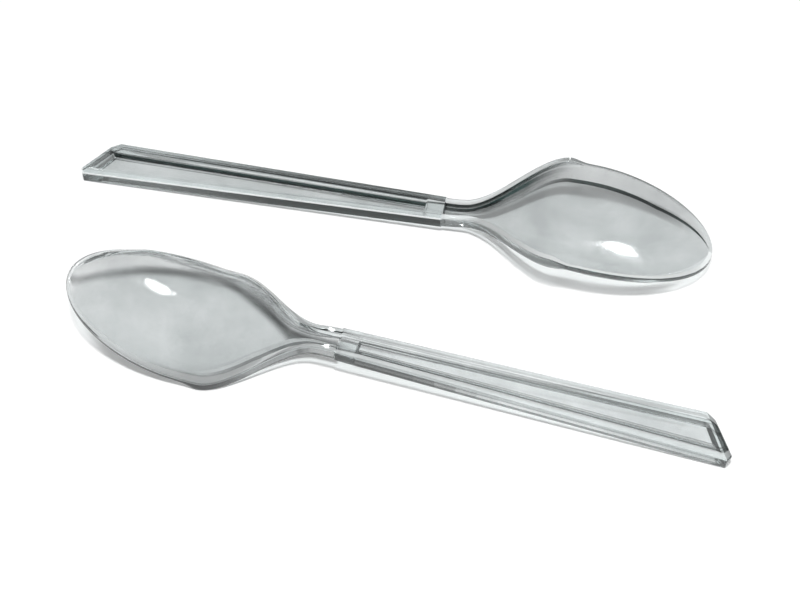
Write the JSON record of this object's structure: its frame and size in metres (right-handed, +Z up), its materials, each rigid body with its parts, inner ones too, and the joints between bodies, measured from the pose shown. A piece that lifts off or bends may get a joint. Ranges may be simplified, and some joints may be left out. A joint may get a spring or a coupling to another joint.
{
  "type": "plastic cutlery pack",
  "caption": "Clear moulded plastic spoons with recessed handle panels, slant-cut butts and oval bowls, lying side by side, bowl up and overturned, for eating or serving food.",
  "frame": {"origin": "middle of the box round both spoons, on the ground they lie on", "axes": "+X along the longer side of the pack, to the right in the picture; +Y away from the viewer; +Z up"},
  "size_m": [0.1644, 0.1018, 0.0134],
  "materials": {
    "clear_plastic": "clear, glossy injection-moulded polystyrene"
  },
  "bodies": {
    "root": {"spoon_bowl_up": "clear_plastic", "spoon_bowl_down": "clear_plastic"}
  },
  "joints": []
}
